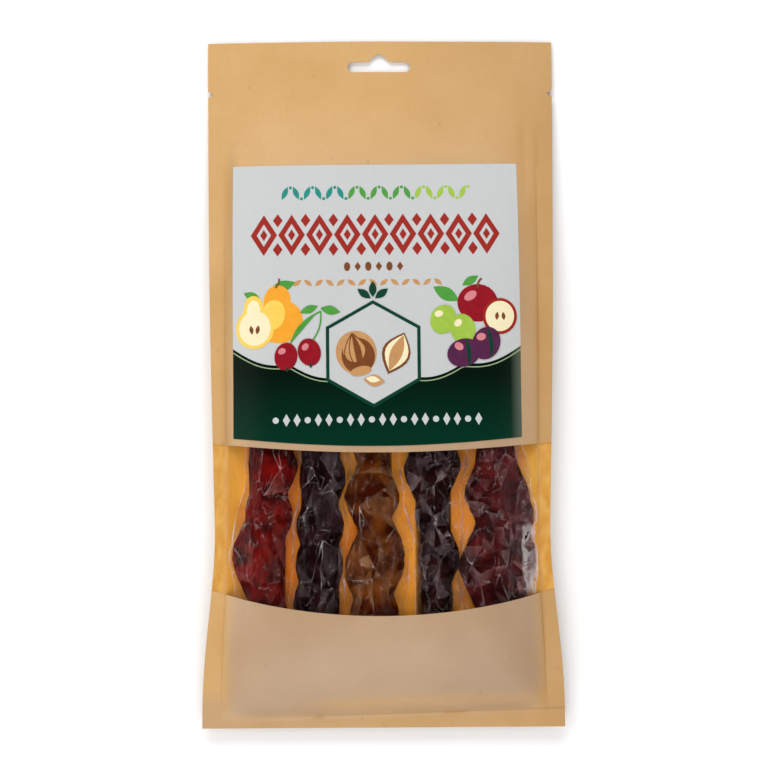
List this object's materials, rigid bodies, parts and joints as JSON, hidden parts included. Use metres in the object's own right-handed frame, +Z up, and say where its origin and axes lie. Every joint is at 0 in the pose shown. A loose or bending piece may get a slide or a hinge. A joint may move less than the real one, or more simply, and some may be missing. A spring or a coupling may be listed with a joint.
{
  "type": "pack of churchkhela sweets",
  "caption": "Flat brown paper hang pouch with a front label and a clear window band that shows the wrapped churchkhela sticks inside.",
  "frame": {"origin": "centre of the pack's outline, on the surface that it lies on", "axes": "+Y towards the top edge with the hang slot, +X to the right when the label is read, +Z up out of the front"},
  "size_m": [0.17, 0.333, 0.0241],
  "materials": {
    "kraft_paper": "brown kraft paper laminated with film, satin, heat sealed at the edges",
    "clear_film": "clear glossy plastic film",
    "label_paper": "satin coated label paper, white with a dark green foot",
    "red_must": "dried cherry red fruit must in clear wrap",
    "dark_must": "dried dark grape must in clear wrap",
    "amber_must": "dried amber brown must in clear wrap",
    "black_must": "dried black grape must in clear wrap",
    "plum_must": "dried plum coloured must in clear wrap"
  },
  "bodies": {
    "root": {"pouch": "kraft_paper", "window_film": "clear_film", "label": "label_paper", "stick_cherry_red": "red_must", "stick_dark_grape": "dark_must", "stick_amber_brown": "amber_must", "stick_black_grape": "black_must", "stick_plum": "plum_must"}
  },
  "joints": []
}
